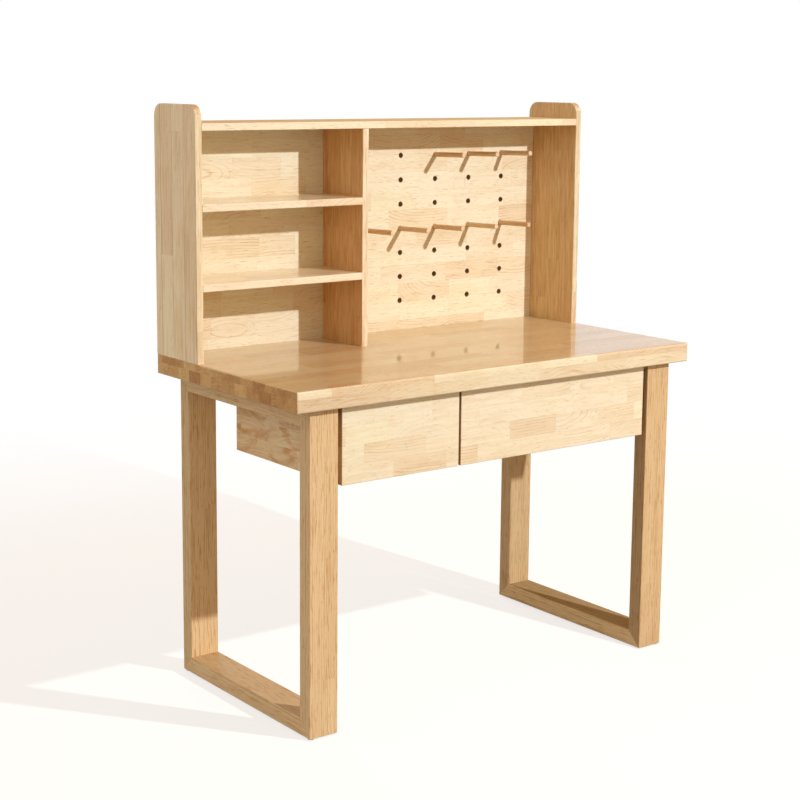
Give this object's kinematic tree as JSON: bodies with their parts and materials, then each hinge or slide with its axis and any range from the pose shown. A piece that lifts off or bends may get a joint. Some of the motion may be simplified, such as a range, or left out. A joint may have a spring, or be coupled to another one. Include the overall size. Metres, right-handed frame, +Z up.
{
  "type": "wooden workbench",
  "caption": "Solid wood workbench with a thick desktop on mitred loop legs, drawers hung below, and a hutch with shelves and a tilted-peg panel.",
  "frame": {"origin": "on the floor, under the middle of the bench's outline", "axes": "+X to the right seen from the front, +Y from the front to the rear, +Z up"},
  "size_m": [1.2, 0.61, 1.4],
  "materials": {
    "desktop_wood": "finger-jointed hardwood staves under a glossy clear lacquer",
    "frame_wood": "straight-grained hardwood, satin lacquer",
    "dowel_wood": "plain hardwood, glued in",
    "glide_nylon": "moulded nylon",
    "zinc_steel": "zinc-plated steel",
    "insert_brass": "plain brass",
    "case_wood": "finger-jointed hardwood staves, satin lacquer",
    "bumper_rubber": "soft clear rubber",
    "slide_steel": "zinc-plated folded steel",
    "face_wood": "finger-jointed hardwood staves, satin lacquer",
    "box_wood": "finger-jointed hardwood, matt lacquer",
    "bottom_ply": "thin plywood, matt lacquer",
    "hutch_wood": "finger-jointed hardwood staves, satin lacquer",
    "peg_wood": "turned hardwood dowel, satin lacquer"
  },
  "bodies": {
    "bench": {"desktop": "desktop_wood", "left_front_post": "frame_wood", "left_rear_post": "frame_wood", "left_top_rail": "frame_wood", "left_bottom_rail": "frame_wood", "right_front_post": "frame_wood", "right_rear_post": "frame_wood", "right_top_rail": "frame_wood", "right_bottom_rail": "frame_wood", "mitre_tenons": "dowel_wood", "foot_glides": "glide_nylon", "frame_bolts": "zinc_steel", "frame_washers": "zinc_steel", "desktop_inserts": "insert_brass", "case_left_side": "case_wood", "case_right_side": "case_wood", "case_partition": "case_wood", "case_back": "case_wood", "case_front_rail": "case_wood", "case_rear_rail": "case_wood", "case_dowels": "dowel_wood", "case_screws": "zinc_steel", "case_bumpers": "bumper_rubber", "slide_case_members": "slide_steel", "hutch_left_side": "hutch_wood", "hutch_right_side": "hutch_wood", "hutch_divider": "hutch_wood", "hutch_top": "hutch_wood", "upper_shelf": "hutch_wood", "lower_shelf": "hutch_wood", "hutch_back": "hutch_wood", "hutch_dowels": "dowel_wood", "shelf_dowels": "dowel_wood", "hutch_screws": "zinc_steel"},
    "left_drawer": {"left_drawer_face": "face_wood", "left_drawer_front": "box_wood", "left_drawer_left_side": "box_wood", "left_drawer_right_side": "box_wood", "left_drawer_back": "box_wood", "left_drawer_bottom": "bottom_ply", "left_drawer_slide_members": "slide_steel"},
    "right_drawer": {"right_drawer_face": "face_wood", "right_drawer_front": "box_wood", "right_drawer_left_side": "box_wood", "right_drawer_right_side": "box_wood", "right_drawer_back": "box_wood", "right_drawer_bottom": "bottom_ply", "right_drawer_slide_members": "slide_steel"},
    "left_runner": {"left_slide_middles": "slide_steel"},
    "right_runner": {"right_slide_middles": "slide_steel"},
    "peg_1": {"peg_1": "peg_wood"},
    "peg_2": {"peg_2": "peg_wood"},
    "peg_3": {"peg_3": "peg_wood"},
    "peg_4": {"peg_4": "peg_wood"},
    "peg_5": {"peg_5": "peg_wood"},
    "peg_6": {"peg_6": "peg_wood"},
    "peg_7": {"peg_7": "peg_wood"},
    "peg_8": {"peg_8": "peg_wood"}
  },
  "joints": [
    {"name": "left_drawer_slide", "type": "slide", "parent": "bench", "child": "left_drawer", "axis": [0, -1, 0], "range_m": [0, 0.38]},
    {"name": "left_runner_slide", "type": "slide", "parent": "bench", "child": "left_runner", "axis": [0, -1, 0], "range_m": [0, 0.19]},
    {"name": "right_drawer_slide", "type": "slide", "parent": "bench", "child": "right_drawer", "axis": [0, -1, 0], "range_m": [0, 0.38]},
    {"name": "right_runner_slide", "type": "slide", "parent": "bench", "child": "right_runner", "axis": [0, -1, 0], "range_m": [0, 0.19]},
    {"name": "peg_1_pull", "type": "slide", "parent": "bench", "child": "peg_1", "axis": [0, -0.9997, 0.0262], "range_m": [0, 0.019]},
    {"name": "peg_2_pull", "type": "slide", "parent": "bench", "child": "peg_2", "axis": [0, -0.9997, 0.0262], "range_m": [0, 0.019]},
    {"name": "peg_3_pull", "type": "slide", "parent": "bench", "child": "peg_3", "axis": [0, -0.9997, 0.0262], "range_m": [0, 0.019]},
    {"name": "peg_4_pull", "type": "slide", "parent": "bench", "child": "peg_4", "axis": [0, -0.9997, 0.0262], "range_m": [0, 0.019]},
    {"name": "peg_5_pull", "type": "slide", "parent": "bench", "child": "peg_5", "axis": [0, -0.9997, 0.0262], "range_m": [0, 0.019]},
    {"name": "peg_6_pull", "type": "slide", "parent": "bench", "child": "peg_6", "axis": [0, -0.9997, 0.0262], "range_m": [0, 0.019]},
    {"name": "peg_7_pull", "type": "slide", "parent": "bench", "child": "peg_7", "axis": [0, -0.9997, 0.0262], "range_m": [0, 0.019]},
    {"name": "peg_8_pull", "type": "slide", "parent": "bench", "child": "peg_8", "axis": [0, -0.9997, 0.0262], "range_m": [0, 0.019]}
  ],
  "couplings": [
    {"joint": "left_runner_slide", "follows": "left_drawer_slide", "ratio": 0.5},
    {"joint": "right_runner_slide", "follows": "right_drawer_slide", "ratio": 0.5}
  ]
}
